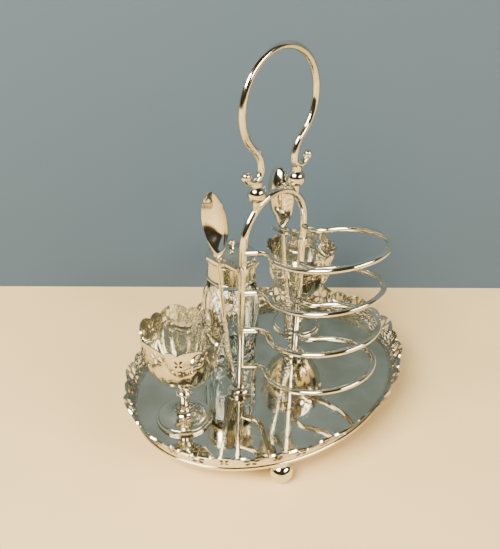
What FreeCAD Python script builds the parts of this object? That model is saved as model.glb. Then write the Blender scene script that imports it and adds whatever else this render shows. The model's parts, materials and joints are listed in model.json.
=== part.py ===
"""Breakfast cruet: an oval silver-plated tray on ball feet, with an arch that carries a toast rack,
a handle and two hanging spoons, and with two egg cups and a lidded glass jar standing on the tray.

Millimetres, +Z up. X runs along the tray from the left post to the right post, the toast rack is
towards -Y and the jar towards +Y. The origin is on the ground, under the middle of the tray.
"""
import FreeCAD, Part
import math
import os

from FreeCAD import Vector

# ---- tray and feet -------------------------------------------------------------------------------
FLOOR = 18.5               # height of the tray's upper face
PLATE = 1.6                # thickness of the tray plate
TRAY_A = 101.0              # half length of the tray plate
TRAY_B = 77.0              # half width of the tray plate
GALLERY_HEIGHT = 14.0
GALLERY_WALL = 1.0
GALLERY_FLARE = ((0.0, -0.6), (3.0, 0.4), (8.0, 2.7), (GALLERY_HEIGHT, 6.5))   # height, growth
FLOWERS = 18               # pierced flowers round the gallery, with a small piercing between two
FOOT_RADIUS = 7.5
FOOT_FLAT_RADIUS = 2.0     # small flat on which each ball rests
FOOT_X = 53.0
FOOT_Y = 60.0
PAD_RADIUS = 4.2

# ---- arch, bosses and nuts -----------------------------------------------------------------------
POST_X = 27.7              # each post's distance from the middle
POST_RADIUS = 2.35
ARCH_SPRING = FLOOR + 109.5    # where the straight posts turn into the half circle
THREAD_RADIUS = 1.8
THREAD_END = 11.6
BOSS_RADIUS = 8.2
BOSS_HEIGHT = 7.2
WASHER_RADIUS = 4.5
WASHER_THICKNESS = 0.8
NUT_FLATS = 7.0
NUT_THICKNESS = 3.2

# ---- toast rack ----------------------------------------------------------------------------------
RACK_WIRE = 1.75
RACK_HEIGHTS = (105.5, 77.5, 49.5, 21.5)   # of each loop at the posts, above the tray, top first
RACK_TILT = 13.0           # degrees that each loop rises towards its outer end
LOOP_RADIUS = 34.0
LOOP_CENTRE_Y = -44.0
LOOP_NECK_X = 22.0         # narrowest half width, near the posts
LOOP_NECK_RADIUS = 12.0

# ---- handle --------------------------------------------------------------------------------------
HANDLE_WIRE = 2.2
HANDLE_RADIUS = 31.0
HANDLE_CENTRE_Z = FLOOR + 191.5
HANDLE_NECK_X = 14.5
SCROLL_RADIUS = 6.2
SCROLL_Z = FLOOR + 155.4   # height of the scrolls' centres
SCROLL_SWEEP = 168.0       # degrees of each scroll's turn
SCROLL_BEAD = 3.0
BALL_X = 17.5
BALL_Z = FLOOR + 141.2
BALL_RADIUS = 5.7
STUD_RADIUS = 1.1

# ---- spoons and their brackets -------------------------------------------------------------------
SPOON_X = 30.0
SPOON_Y = 19.0             # where the stem passes through its bracket
SPOON_LEAN = 8.0           # degrees
BRACKET_Z = FLOOR + 93.5   # underside of the bracket fork
BRACKET_THICKNESS = 1.6
FORK_GAP = 4.4             # between the two prongs of a fork
PRONG_WIDTH = 1.8
FORK_BACK = 13.4           # where the prongs join, as a distance behind the arch
FORK_END = 25.0
BOWL_LENGTH = 43.0
BOWL_WIDTH = 23.0
BOWL_DEPTH = 7.0
SPOON_SHEET = 1.0
STEM_LENGTH = 48.0
BLADE_LENGTH = 40.5
BLADE_WIDTH = 9.0
BLADE_THICKNESS = 1.8

# ---- egg cups ------------------------------------------------------------------------------------
CUP_PLACES = {"left": (-71.5, 6.5), "right": (58.5, 24.5)}
CUP_HEIGHT = 70.0
CUP_RIM_RADIUS = 25.6
CUP_FOOT_RADIUS = 17.6
CUP_SHEET = 1.0
CUP_FLOWERS = 6

# ---- jar -----------------------------------------------------------------------------------------
JAR_PLACE = (-1.0, 36.0)
JAR_RADIUS = 19.5
JAR_WALL = 2.6
COLLAR_RADIUS = 16.4
COLLAR_BOTTOM = 64.0
COLLAR_TOP = 79.0
LID_GAP = 0.3
HINGE_OFFSET = 18.4        # hinge axis, from the jar's axis towards the arch
KNUCKLE_RADIUS = 1.8
KNUCKLE_LENGTH = 3.4
KNUCKLE_GAP = 0.3
PIN_RADIUS = 0.8
PIN_PLAY = 0.05
PEG_RADIUS = 1.0           # of the peg under the lid's knob
KNOB_RADIUS = 2.6
REST_GAP = 0.1             # under whatever only stands on the tray

UP = Vector(0, 0, 1)
ALONG = Vector(1, 0, 0)
ACROSS = Vector(0, 1, 0)


# ---- helpers -------------------------------------------------------------------------------------
def write(name, *solids):
    """Write one node: a single solid, or several alike as a group."""
    shape = solids[0] if len(solids) == 1 else Part.makeCompound(list(solids))
    os.makedirs("parts", exist_ok=True)
    shape.exportStep("parts/" + name + ".step")


def cylinder(radius, low, high, x=0.0, y=0.0):
    return Part.makeCylinder(radius, high - low, Vector(x, y, low), UP)


def box(x0, x1, y0, y1, z0, z1):
    return Part.makeBox(x1 - x0, y1 - y0, z1 - z0, Vector(x0, y0, z0))


def moved(shape, x=0.0, y=0.0, z=0.0):
    copy = shape.copy()
    copy.translate(Vector(x, y, z))
    return copy


def mirrored(shape):
    """The same piece on the other side of the tray's short axis."""
    return shape.mirror(Vector(0, 0, 0), ALONG)


def turned_profile(outline):
    """Revolve a closed outline round the Z axis. Points are (radius, height); a third value makes
    the run that ends there an arc, and is how far its middle bulges to the left of the run."""
    edges = []
    start = outline[0]
    for end in list(outline[1:]) + [outline[0]]:
        a = Vector(start[0], 0, start[1])
        b = Vector(end[0], 0, end[1])
        bulge = end[2] if len(end) > 2 else 0.0
        if bulge:
            run = (b - a).normalize()
            left = Vector(-run.z, 0, run.x)
            middle = (a + b) * 0.5 + left * bulge
            edges.append(Part.Arc(a, middle, b).toShape())
        elif (b - a).Length > 1e-6:
            edges.append(Part.LineSegment(a, b).toShape())
        start = end
    face = Part.Face(Part.Wire(edges))
    return face.revolve(Vector(0, 0, 0), UP, 360)


def ellipse_wire(half_length, half_width, height):
    curve = Part.Ellipse(Vector(0, 0, height), half_length, half_width)
    return Part.Wire([curve.toShape()])


def bent_wire(edges, radius):
    """A round wire along a path of tangent runs and arcs."""
    path = Part.Wire(edges)
    start = edges[0].valueAt(edges[0].FirstParameter)
    heading = edges[0].tangentAt(edges[0].FirstParameter)
    section = Part.Wire([Part.makeCircle(radius, start, heading)])
    return path.makePipeShell([section], True, False)


def flat_arc(centre, radius, first, last, plane):
    """An arc from one angle to another, in degrees; plane turns (u, v) into a point."""
    def at(degrees):
        angle = math.radians(degrees)
        return plane(centre[0] + radius * math.cos(angle), centre[1] + radius * math.sin(angle))
    return Part.Arc(at(first), at((first + last) / 2.0), at(last)).toShape()


# ---- tray ----------------------------------------------------------------------------------------
def tray_plate():
    low = ellipse_wire(TRAY_A, TRAY_B, FLOOR - PLATE)
    plate = Part.Face(low).extrude(Vector(0, 0, PLATE))
    for side in (-1, 1):
        plate = plate.cut(cylinder(THREAD_RADIUS, FLOOR - PLATE - 1, FLOOR + 1, side * POST_X))
    return plate


def flare_at(height):
    """How far the gallery stands outside the plate's edge at a height above the floor."""
    for (h0, g0), (h1, g1) in zip(GALLERY_FLARE, GALLERY_FLARE[1:]):
        if height <= h1:
            return g0 + (g1 - g0) * (height - h0) / (h1 - h0)
    return GALLERY_FLARE[-1][1]


def gallery_skin(inset, below, above):
    """A closed flared solid whose side is the gallery's outer face moved in by inset."""
    levels = [(h, g) for h, g in GALLERY_FLARE]
    levels[0] = (levels[0][0] - below, levels[0][1] - below * 0.4)
    levels[-1] = (levels[-1][0] + above, levels[-1][1] + above * 0.8)
    wires = []
    for height, growth in levels:
        grow = growth - inset
        wires.append(ellipse_wire(TRAY_A + grow, TRAY_B + grow, FLOOR + height))
    return Part.makeLoft(wires, True, False)


def places_round(count, half_length, half_width):
    """Points evenly spaced by length round an ellipse, each with its outward direction."""
    steps = 2000
    length = [0.0]
    for i in range(steps):
        a = 2 * math.pi * (i + 0.5) / steps
        step = math.hypot(half_length * math.sin(a), half_width * math.cos(a)) * 2 * math.pi / steps
        length.append(length[-1] + step)
    places = []
    i = 0
    for k in range(count):
        wanted = length[-1] * k / count
        while length[i] < wanted:
            i += 1
        a = 2 * math.pi * i / steps
        outward = Vector(math.cos(a) / half_length, math.sin(a) / half_width, 0).normalize()
        places.append((Vector(half_length * math.cos(a), half_width * math.sin(a), 0), outward))
    return places


def piercing(point, outward, radius, reach=4.0):
    return Part.makeCylinder(radius, 2 * reach, point - outward * reach, outward)


def flower_piercings(point, outward, petals, ring, hole):
    """Round holes in a ring, as the petals of one pierced flower."""
    sideways = Vector(-outward.y, outward.x, 0)
    cutters = []
    for k in range(petals):
        angle = 2 * math.pi * k / petals + math.pi / 2
        at = point + sideways * (ring * math.cos(angle)) + UP * (ring * math.sin(angle))
        cutters.append(piercing(at, outward, hole))
    return cutters


def pierced_gallery():
    shell = gallery_skin(0.0, 0.0, 0.0).cut(gallery_skin(GALLERY_WALL, 1.0, 1.0))
    middle = FLOOR + 8.6
    grow = flare_at(8.6) - GALLERY_WALL / 2
    cutters = []
    spots = places_round(4 * FLOWERS, TRAY_A + grow, TRAY_B + grow)
    for k, (point, outward) in enumerate(spots):
        if k % 4 == 0:
            cutters += flower_piercings(point + UP * middle, outward, 5, 2.9, 1.15)
        elif k % 4 == 2:
            cutters.append(piercing(point + UP * (middle + 0.4), outward, 0.9))
        else:
            top = FLOOR + GALLERY_HEIGHT + 1.2
            cutters.append(piercing(point + UP * top, outward, 3.0, 7.0))
    return shell.cut(cutters)


def ball_centre():
    return math.sqrt(FOOT_RADIUS ** 2 - FOOT_FLAT_RADIUS ** 2)


def ball_foot(x, y):
    ball = Part.makeSphere(FOOT_RADIUS, Vector(x, y, ball_centre()))
    return ball.common(box(x - 9, x + 9, y - 9, y + 9, 0, 20))


def foot_pad(x, y):
    pad = cylinder(PAD_RADIUS, ball_centre() + 5.6, FLOOR - PLATE, x, y)
    return pad.cut(Part.makeSphere(FOOT_RADIUS, Vector(x, y, ball_centre())))


# ---- arch ----------------------------------------------------------------------------------------
def arch_frame():
    left = cylinder(POST_RADIUS, FLOOR, ARCH_SPRING, -POST_X)
    right = cylinder(POST_RADIUS, FLOOR, ARCH_SPRING, POST_X)
    section = Part.Face(Part.Wire([Part.makeCircle(POST_RADIUS, Vector(POST_X, 0, ARCH_SPRING), UP)]))
    bow = section.revolve(Vector(0, 0, ARCH_SPRING), Vector(0, -1, 0), 180)
    frame = bow.fuse([left, right])
    for side in (-1, 1):
        frame = frame.fuse(cylinder(THREAD_RADIUS, THREAD_END, FLOOR, side * POST_X))
    return frame.removeSplitter()


def post_boss(x):
    """A domed collar that the post stands in, with a bead round its neck."""
    outline = [
        (POST_RADIUS, 0.0), (BOSS_RADIUS - 0.4, 0.0), (BOSS_RADIUS, 0.6), (BOSS_RADIUS, 1.2),
        (BOSS_RADIUS - 0.6, 1.7), (3.9, 5.2, -0.9), (3.4, 5.8), (3.9, 6.3, -0.2), (3.6, 7.0, -0.2),
        (2.9, BOSS_HEIGHT), (POST_RADIUS, BOSS_HEIGHT),
    ]
    return moved(turned_profile(outline), x, 0, FLOOR)


def washer(x):
    top = FLOOR - PLATE
    ring = cylinder(WASHER_RADIUS, top - WASHER_THICKNESS, top, x)
    return ring.cut(cylinder(THREAD_RADIUS + 0.1, top - 2, top + 1, x))


def nut(x):
    top = FLOOR - PLATE - WASHER_THICKNESS
    corner = NUT_FLATS / math.sqrt(3.0)
    points = []
    for k in range(7):
        angle = math.radians(60 * k)
        points.append(Vector(x + corner * math.cos(angle), corner * math.sin(angle), top))
    hexagon = Part.Face(Part.makePolygon(points)).extrude(Vector(0, 0, -NUT_THICKNESS))
    return hexagon.cut(cylinder(THREAD_RADIUS, top - NUT_THICKNESS - 1, top + 1, x))


# ---- toast rack ----------------------------------------------------------------------------------
def rack_path():
    """Half of a loop, from the right post to the outer end, as four values in the loop's plane."""
    big = (0.0, LOOP_CENTRE_Y)
    reach = LOOP_RADIUS + LOOP_NECK_RADIUS
    neck_x = LOOP_NECK_X + LOOP_NECK_RADIUS
    neck = (neck_x, LOOP_CENTRE_Y + math.sqrt(reach ** 2 - neck_x ** 2))
    to_post = math.hypot(POST_X - neck[0], -neck[1])
    post_angle = math.degrees(math.atan2(-neck[1], POST_X - neck[0]))
    leave = post_angle + math.degrees(math.acos(LOOP_NECK_RADIUS / to_post))
    join = math.degrees(math.atan2(neck[1] - big[1], neck[0] - big[0]))
    return big, neck, leave, join


def rack_loop(height):
    """One horseshoe of wire: straight off each post, in round a neck, then round the big bow."""
    big, neck, leave, join = rack_path()

    def right(u, v):
        return Vector(u, v, 0)

    def left(u, v):
        return Vector(-u, v, 0)

    def tangent_point(plane):
        angle = math.radians(leave)
        return plane(neck[0] + LOOP_NECK_RADIUS * math.cos(angle),
                     neck[1] + LOOP_NECK_RADIUS * math.sin(angle))

    edges = [
        Part.LineSegment(Vector(POST_X, 0, 0), tangent_point(right)).toShape(),
        flat_arc(neck, LOOP_NECK_RADIUS, leave, 180 + join, right),
        flat_arc(big, LOOP_RADIUS, join, -90, right),
        flat_arc(big, LOOP_RADIUS, -90, join, left),
        flat_arc(neck, LOOP_NECK_RADIUS, 180 + join, leave, left),
        Part.LineSegment(tangent_point(left), Vector(-POST_X, 0, 0)).toShape(),
    ]
    loop = bent_wire(edges, RACK_WIRE)
    loop.rotate(Vector(0, 0, 0), ALONG, -RACK_TILT)
    loop.translate(Vector(0, 0, FLOOR + height))
    for side in (-1, 1):
        loop = loop.cut(cylinder(POST_RADIUS, FLOOR, ARCH_SPRING, side * POST_X))
    solids = sorted(loop.Solids, key=lambda solid: solid.Volume)
    return solids[-1]


# ---- handle --------------------------------------------------------------------------------------
def carrying_handle():
    """A round bow that narrows to a neck and ends in two outward scrolls with beads."""
    rise = HANDLE_CENTRE_Z - SCROLL_Z
    neck_radius = ((HANDLE_NECK_X ** 2 + rise ** 2 - HANDLE_RADIUS ** 2)
                   / (2 * (HANDLE_RADIUS - HANDLE_NECK_X)))
    neck = (HANDLE_NECK_X + neck_radius, SCROLL_Z)
    join = math.degrees(math.atan2(neck[1] - HANDLE_CENTRE_Z, neck[0]))
    bow = (0.0, HANDLE_CENTRE_Z)
    scroll = (HANDLE_NECK_X + SCROLL_RADIUS, SCROLL_Z)
    scroll_end = 180 + SCROLL_SWEEP

    def right(u, v):
        return Vector(u, 0, v)

    def left(u, v):
        return Vector(-u, 0, v)

    edges = [
        flat_arc(scroll, SCROLL_RADIUS, scroll_end, 180, right),
        flat_arc(neck, neck_radius, 180, 180 + join, right),
        flat_arc(bow, HANDLE_RADIUS, join, 90, right),
        flat_arc(bow, HANDLE_RADIUS, 90, join, left),
        flat_arc(neck, neck_radius, 180 + join, 180, left),
        flat_arc(scroll, SCROLL_RADIUS, 180, scroll_end, left),
    ]
    wire = bent_wire(edges, HANDLE_WIRE)
    angle = math.radians(scroll_end)
    tip_x = scroll[0] + SCROLL_RADIUS * math.cos(angle)
    tip_z = scroll[1] + SCROLL_RADIUS * math.sin(angle)
    beads = [Part.makeSphere(SCROLL_BEAD, Vector(side * tip_x, 0, tip_z)) for side in (-1, 1)]
    return wire.fuse(beads)


def handle_ball(x):
    ball = Part.makeSphere(BALL_RADIUS, Vector(x, 0, BALL_Z))
    return ball.cut(cylinder(STUD_RADIUS, BALL_Z - 10, BALL_Z + 10, x))


def handle_stud(x, arch, handle):
    """The pin through a ball, with the collars above and below it, shaped to the wires it joins."""
    low = BALL_Z - 11.0
    pin = cylinder(STUD_RADIUS, low, BALL_Z + 10.0, x)
    lower = cylinder(2.5, low, BALL_Z - BALL_RADIUS + 0.8, x)
    upper = cylinder(3.0, BALL_Z + BALL_RADIUS - 0.9, BALL_Z + BALL_RADIUS + 2.0, x)
    stud = pin.fuse([lower, upper]).cut([handle_ball(x), arch, handle])
    solids = sorted(stud.Solids, key=lambda solid: solid.Volume)
    return solids[-1]


# ---- spoons --------------------------------------------------------------------------------------
def spoon_bracket(x):
    """A short arm behind the post that ends in an open fork; the spoon's stem hangs in the fork."""
    top = BRACKET_Z + BRACKET_THICKNESS
    post = math.copysign(POST_X, x)
    inner = FORK_GAP / 2
    outer = inner + PRONG_WIDTH
    middle = inner + PRONG_WIDTH / 2
    fork = cylinder(outer, BRACKET_Z, top, x, FORK_BACK + inner).fuse([
        box(x - outer, x + outer, FORK_BACK + inner, FORK_END, BRACKET_Z, top),
        cylinder(PRONG_WIDTH / 2, BRACKET_Z, top, x - middle, FORK_END),
        cylinder(PRONG_WIDTH / 2, BRACKET_Z, top, x + middle, FORK_END),
    ])
    fork = fork.cut([
        cylinder(inner, BRACKET_Z - 1, top + 1, x, FORK_BACK + inner),
        box(x - inner, x + inner, FORK_BACK + inner, FORK_END + 5, BRACKET_Z - 1, top + 1),
    ])
    arm = box(x - 1.5, x + 1.5, 0, FORK_BACK - 0.2, BRACKET_Z, top)
    clip = cylinder(POST_RADIUS + 1.3, BRACKET_Z - 1.2, top + 1.2, post)
    rod = cylinder(POST_RADIUS, FLOOR, ARCH_SPRING, post)
    return fork.fuse([arm, clip]).cut(rod).removeSplitter()


def half_ellipsoid(depth, width, length):
    """The half on the +X side of an ellipsoid about the origin, from its three full sizes."""
    ball = Part.makeSphere(1.0)
    matrix = FreeCAD.Matrix()
    matrix.scale(depth, width / 2, length / 2)
    stretched = ball.transformGeometry(matrix)
    return stretched.common(box(0, depth + 1, -width, width, -length, length))


def egg_spoon():
    """The left spoon: hollow of the bowl towards -X, flat end down, standing on its own axis."""
    outer = half_ellipsoid(BOWL_DEPTH, BOWL_WIDTH, BOWL_LENGTH)
    inner = half_ellipsoid(BOWL_DEPTH - SPOON_SHEET, BOWL_WIDTH - 2 * SPOON_SHEET,
                           BOWL_LENGTH - 2 * SPOON_SHEET)
    bowl = moved(outer.cut(inner), 0, 0, BOWL_LENGTH / 2)
    stem_low = -STEM_LENGTH
    stem = Part.makeCone(1.5, 1.25, STEM_LENGTH + 2.0, Vector(0.75, 0, stem_low), UP)
    half_neck = 1.6
    half_end = BLADE_WIDTH / 2
    blade_low = stem_low - BLADE_LENGTH
    outline = [
        Vector(0, -half_neck, stem_low + 2), Vector(0, -half_end, blade_low),
        Vector(0, half_end, blade_low), Vector(0, half_neck, stem_low + 2),
        Vector(0, -half_neck, stem_low + 2),
    ]
    blade = Part.Face(Part.makePolygon(outline)).extrude(Vector(BLADE_THICKNESS, 0, 0))
    blade.translate(Vector(0.75 - BLADE_THICKNESS / 2, 0, 0))
    spoon = bowl.fuse([stem, blade])
    spoon.translate(Vector(-0.75, 0, 0))
    spoon.rotate(Vector(0, 0, 0), ALONG, -SPOON_LEAN)
    spoon.translate(Vector(-SPOON_X, SPOON_Y, BRACKET_Z + BRACKET_THICKNESS + 0.6))
    return spoon


# ---- egg cups ------------------------------------------------------------------------------------
def cup_foot():
    """A spun foot: a moulded edge, a low dome and a narrow top, hollow underneath."""
    outline = [
        (CUP_FOOT_RADIUS - 1.6, 0.0), (CUP_FOOT_RADIUS, 0.0), (CUP_FOOT_RADIUS, 1.4, -0.3),
        (CUP_FOOT_RADIUS - 1.5, 1.9), (CUP_FOOT_RADIUS - 1.9, 3.0, -0.4), (8.0, 4.6, 0.6),
        (4.4, 8.4, 0.9), (3.0, 8.4), (3.0, 6.9), (7.6, 3.4, -0.9), (CUP_FOOT_RADIUS - 3.0, 1.9, -0.5),
    ]
    return turned_profile(outline)


def cup_stem():
    outline = [
        (0.0, 8.4), (4.4, 8.4), (4.6, 9.4, -0.3), (3.3, 10.2), (2.7, 14.5, 0.2), (3.0, 18.4),
        (4.2, 19.2, -0.3), (5.2, 21.0, -0.2), (4.2, 22.8, -0.2), (3.0, 23.6), (3.2, 26.6, 0.2),
        (5.0, 28.4), (0.0, 28.4),
    ]
    return turned_profile(outline)


def cup_bowl_outline(inset):
    """Outer face of the bowl from its bottom to its rim, moved in by the sheet's thickness."""
    rim = CUP_RIM_RADIUS - inset
    return [
        (5.0, 28.4 + inset), (16.5 - inset, 37.5 + 0.5 * inset, -1.2), (21.0 - inset, 48.0, -0.7),
        (22.4 - inset, 57.0, -0.2), (rim, CUP_HEIGHT, 0.7),
    ]


def cup_bowl():
    outer = cup_bowl_outline(0.0)
    inner = cup_bowl_outline(CUP_SHEET)
    shell = [(0.0, outer[0][1])] + outer
    back = [(r, z) for r, z, *_ in reversed(inner)]
    bulges = [-b[2] for b in reversed(inner) if len(b) > 2]
    inside = [back[0]]
    for point, bulge in zip(back[1:], bulges):
        inside.append((point[0], point[1], bulge))
    bowl = turned_profile(shell + inside + [(0.0, inner[0][1])])
    cutters = []
    band = CUP_HEIGHT - 5.6
    for k in range(4 * CUP_FLOWERS):
        angle = 2 * math.pi * k / (4 * CUP_FLOWERS)
        outward = Vector(math.cos(angle), math.sin(angle), 0)
        if k % 4 == 0:
            cutters += flower_piercings(outward * 24.0 + UP * band, outward, 5, 2.3, 0.9)
        elif k % 4 == 2:
            cutters.append(piercing(outward * 24.0 + UP * band, outward, 0.9))
        else:
            cutters.append(piercing(outward * 25.5 + UP * (CUP_HEIGHT + 0.9), outward, 2.6, 5.0))
    return bowl.cut(cutters)


# ---- jar -----------------------------------------------------------------------------------------
def jar_glass():
    outer = [
        (0.0, 0.6), (10.0, 0.0), (15.6, 0.0), (16.6, 1.2, -0.3), (JAR_RADIUS, 24.0, -0.6),
        (JAR_RADIUS, 52.0, -0.3), (COLLAR_RADIUS - 1.2, 62.0, -1.6), (COLLAR_RADIUS - 1.2, 78.0),
    ]
    inner = [
        (12.2, 78.0), (12.2, 62.0), (JAR_RADIUS - JAR_WALL, 52.0, 1.4),
        (JAR_RADIUS - JAR_WALL, 24.0, 0.3), (13.4, 5.2, 0.6), (11.0, 4.0, 0.3), (0.0, 4.0),
    ]
    return turned_profile(outer + inner)


def jar_collar():
    """The mount on the glass: a plain band between two beads, with the fixed hinge knuckles."""
    inside = COLLAR_RADIUS - 1.2
    outline = [
        (inside, COLLAR_BOTTOM), (COLLAR_RADIUS + 0.7, COLLAR_BOTTOM),
        (COLLAR_RADIUS + 0.7, COLLAR_BOTTOM + 1.2, -0.3), (COLLAR_RADIUS, COLLAR_BOTTOM + 1.7),
        (COLLAR_RADIUS, COLLAR_TOP - 2.2), (COLLAR_RADIUS + 0.5, COLLAR_TOP - 1.6, -0.15),
        (COLLAR_RADIUS + 0.5, COLLAR_TOP - 0.4, -0.15), (COLLAR_RADIUS, COLLAR_TOP),
        (inside, COLLAR_TOP),
    ]
    collar = turned_profile(outline).cut(knuckle(0.0, KNUCKLE_GAP))
    for side in (-1, 1):
        middle = side * (KNUCKLE_LENGTH + KNUCKLE_GAP)
        collar = collar.fuse(knuckle(middle))
        strap = box(middle - KNUCKLE_LENGTH / 2, middle + KNUCKLE_LENGTH / 2,
                    -HINGE_OFFSET, -inside - 0.5, COLLAR_TOP - 3.0, COLLAR_TOP - 0.6)
        collar = collar.fuse(strap)
    bore = Part.makeCylinder(PIN_RADIUS, 30, Vector(-15, -HINGE_OFFSET, hinge_height()), ALONG)
    mouth = cylinder(inside, COLLAR_BOTTOM - 1, COLLAR_TOP + 5)
    return collar.cut([bore, mouth])


def hinge_height():
    return COLLAR_TOP + LID_GAP / 2


def knuckle(middle, spare=0.0):
    """One barrel of the hinge, or with some spare all round, the room that it needs."""
    start = Vector(middle - KNUCKLE_LENGTH / 2 - spare, -HINGE_OFFSET, hinge_height())
    return Part.makeCylinder(KNUCKLE_RADIUS + spare, KNUCKLE_LENGTH + 2 * spare, start, ALONG)


def jar_lid():
    """A low domed lid with a stepped edge and the moving hinge knuckle."""
    low = COLLAR_TOP + LID_GAP
    edge = COLLAR_RADIUS + 0.6
    outline = [
        (0.0, low + 4.8), (edge - 3.4, low + 1.2, -0.8), (edge - 3.4, low), (edge, low),
        (edge, low + 1.2), (edge - 2.2, low + 2.0, -0.2), (0.0, low + 6.0, 0.9),
    ]
    lid = turned_profile(outline)
    for side in (-1, 1):
        lid = lid.cut(knuckle(side * (KNUCKLE_LENGTH + KNUCKLE_GAP), KNUCKLE_GAP))
    half = KNUCKLE_LENGTH / 2
    strap = box(-half, half, -HINGE_OFFSET, -edge + 2.0, hinge_height() + 0.35, hinge_height() + 1.5)
    lid = lid.fuse([knuckle(0.0), strap])
    bore = Part.makeCylinder(PIN_RADIUS + PIN_PLAY, 30, Vector(-15, -HINGE_OFFSET, hinge_height()),
                             ALONG)
    return lid.cut([bore, cylinder(PEG_RADIUS, low, low + 12)])


def hinge_pin():
    length = 3 * KNUCKLE_LENGTH + 2 * KNUCKLE_GAP
    return Part.makeCylinder(PIN_RADIUS, length, Vector(-length / 2, -HINGE_OFFSET, hinge_height()),
                             ALONG)


def lid_finial():
    """A ball knob on a short neck, with a peg that fills the hole in the lid."""
    top = COLLAR_TOP + LID_GAP + 6.0
    outline = [
        (0.0, top - 1.6), (PEG_RADIUS, top - 1.6), (PEG_RADIUS, top), (2.2, top), (1.4, top + 1.5),
        (1.4, top + 2.5), (0.0, top + 2.5),
    ]
    knob = Part.makeSphere(KNOB_RADIUS, Vector(0, 0, top + 1.0 + KNOB_RADIUS))
    return turned_profile(outline).fuse(knob)


# ---- assembly ------------------------------------------------------------------------------------
def main():
    write("tray_plate", tray_plate())
    write("pierced_gallery", pierced_gallery())
    feet = {"front_left": (-1, -1), "front_right": (1, -1), "back_left": (-1, 1), "back_right": (1, 1)}
    for name, (sx, sy) in feet.items():
        write("ball_foot_" + name, ball_foot(sx * FOOT_X, sy * FOOT_Y))
    write("foot_pads", *[foot_pad(sx * FOOT_X, sy * FOOT_Y) for sx, sy in feet.values()])

    arch = arch_frame()
    handle = carrying_handle()
    write("arch_frame", arch)
    write("post_washers", washer(-POST_X), washer(POST_X))
    write("post_nuts", nut(-POST_X), nut(POST_X))
    write("carrying_handle", handle)
    for number, height in enumerate(RACK_HEIGHTS, start=1):
        write("rack_loop_%d" % number, rack_loop(height))

    left_spoon = egg_spoon()
    spoons = {"left": left_spoon, "right": mirrored(left_spoon)}
    cup_parts = {"bowl": cup_bowl(), "stem": cup_stem(), "foot": cup_foot()}
    for name, side in (("left", -1), ("right", 1)):
        write(name + "_post_boss", post_boss(side * POST_X))
        write(name + "_handle_ball", handle_ball(side * BALL_X))
        write(name + "_handle_stud", handle_stud(side * BALL_X, arch, handle))
        write(name + "_spoon_bracket", spoon_bracket(side * SPOON_X))
        write(name + "_egg_spoon", spoons[name])
        for part, shape in cup_parts.items():
            write(name + "_cup_" + part, moved(shape, *CUP_PLACES[name], FLOOR + REST_GAP))

    jar = {"jar_glass": jar_glass(), "jar_collar": jar_collar(), "jar_lid": jar_lid(),
           "jar_hinge_pin": hinge_pin(), "jar_lid_finial": lid_finial()}
    for name, shape in jar.items():
        write(name, moved(shape, *JAR_PLACE, FLOOR + REST_GAP))


main()
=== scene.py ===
"""Looks of a silver-plated breakfast cruet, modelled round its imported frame, as an add-on.

Lengths in the modelling code are in millimetres and are turned into metres as a mesh is
finished. The stage and the shaders are in metres.
"""

import json
import math

import bmesh
import bpy
from mathutils import Matrix, Vector


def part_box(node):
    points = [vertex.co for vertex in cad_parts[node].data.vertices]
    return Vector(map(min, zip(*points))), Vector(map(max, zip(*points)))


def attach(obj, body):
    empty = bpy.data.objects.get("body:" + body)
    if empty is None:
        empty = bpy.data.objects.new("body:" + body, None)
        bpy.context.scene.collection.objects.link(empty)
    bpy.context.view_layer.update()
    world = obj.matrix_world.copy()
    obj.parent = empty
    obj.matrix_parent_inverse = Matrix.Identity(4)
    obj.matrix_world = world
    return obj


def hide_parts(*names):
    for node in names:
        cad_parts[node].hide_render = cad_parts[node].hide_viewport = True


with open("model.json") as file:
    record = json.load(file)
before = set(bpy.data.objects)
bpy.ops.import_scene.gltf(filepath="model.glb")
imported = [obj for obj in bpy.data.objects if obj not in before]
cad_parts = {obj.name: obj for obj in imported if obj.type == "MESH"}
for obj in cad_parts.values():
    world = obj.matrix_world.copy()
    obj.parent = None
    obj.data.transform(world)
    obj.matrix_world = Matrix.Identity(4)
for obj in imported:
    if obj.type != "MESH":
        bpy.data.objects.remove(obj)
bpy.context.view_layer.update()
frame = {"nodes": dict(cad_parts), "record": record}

bl_info = {
    "name": "Breakfast Cruet",
    "version": (1, 0, 0),
    "blender": (4, 5, 0),
    "location": "View3D > Sidebar > Cruet",
    "description": "Models and finishes the pieces of a silver-plated breakfast cruet",
    "category": "Object",
}

MM = 0.001
TAU = 2 * math.pi
UP = Vector((0, 0, 1))


def corner(node, which):
    """One corner of a node's box, in millimetres: 0 is the lowest, 1 the highest."""
    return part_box(node)[which] / MM


TRAY_HALF = (corner("tray_plate", 1) - corner("tray_plate", 0)) / 2
FLOOR = corner("tray_plate", 1).z
GALLERY_TOP = corner("pierced_gallery", 1)

SHEET_STEP = 0.7        # how finely the pierced sheets are divided
SHEET_CREASE = 50       # degrees: sharper edges of a pierced sheet stay sharp
SPOON_LEAN = math.radians(8.0)

# Lobes of an edge over one repeat: where each starts and ends, and its share of the full height.
GALLERY_LOBES = ((-0.31, 0.31, 1.0), (0.31, 0.69, 0.8))
CUP_LOBES = ((-0.035, 0.65, 1.0), (0.65, 0.965, 0.72))

# Piercings: how many petals, how far out they stand, and how long and wide each is.
GALLERY_FLOWER = {"count": 5, "ring": 3.2, "length": 1.95, "width": 1.35}
GALLERY_CROSS = {"count": 4, "ring": 2.0, "length": 1.4, "width": 0.9, "start": 0.125}
CUP_FLOWER = {"count": 5, "ring": 2.6, "length": 1.6, "width": 1.15}
CUP_CROSS = {"count": 4, "ring": 1.8, "length": 1.25, "width": 0.75, "start": 0.125}


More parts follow.
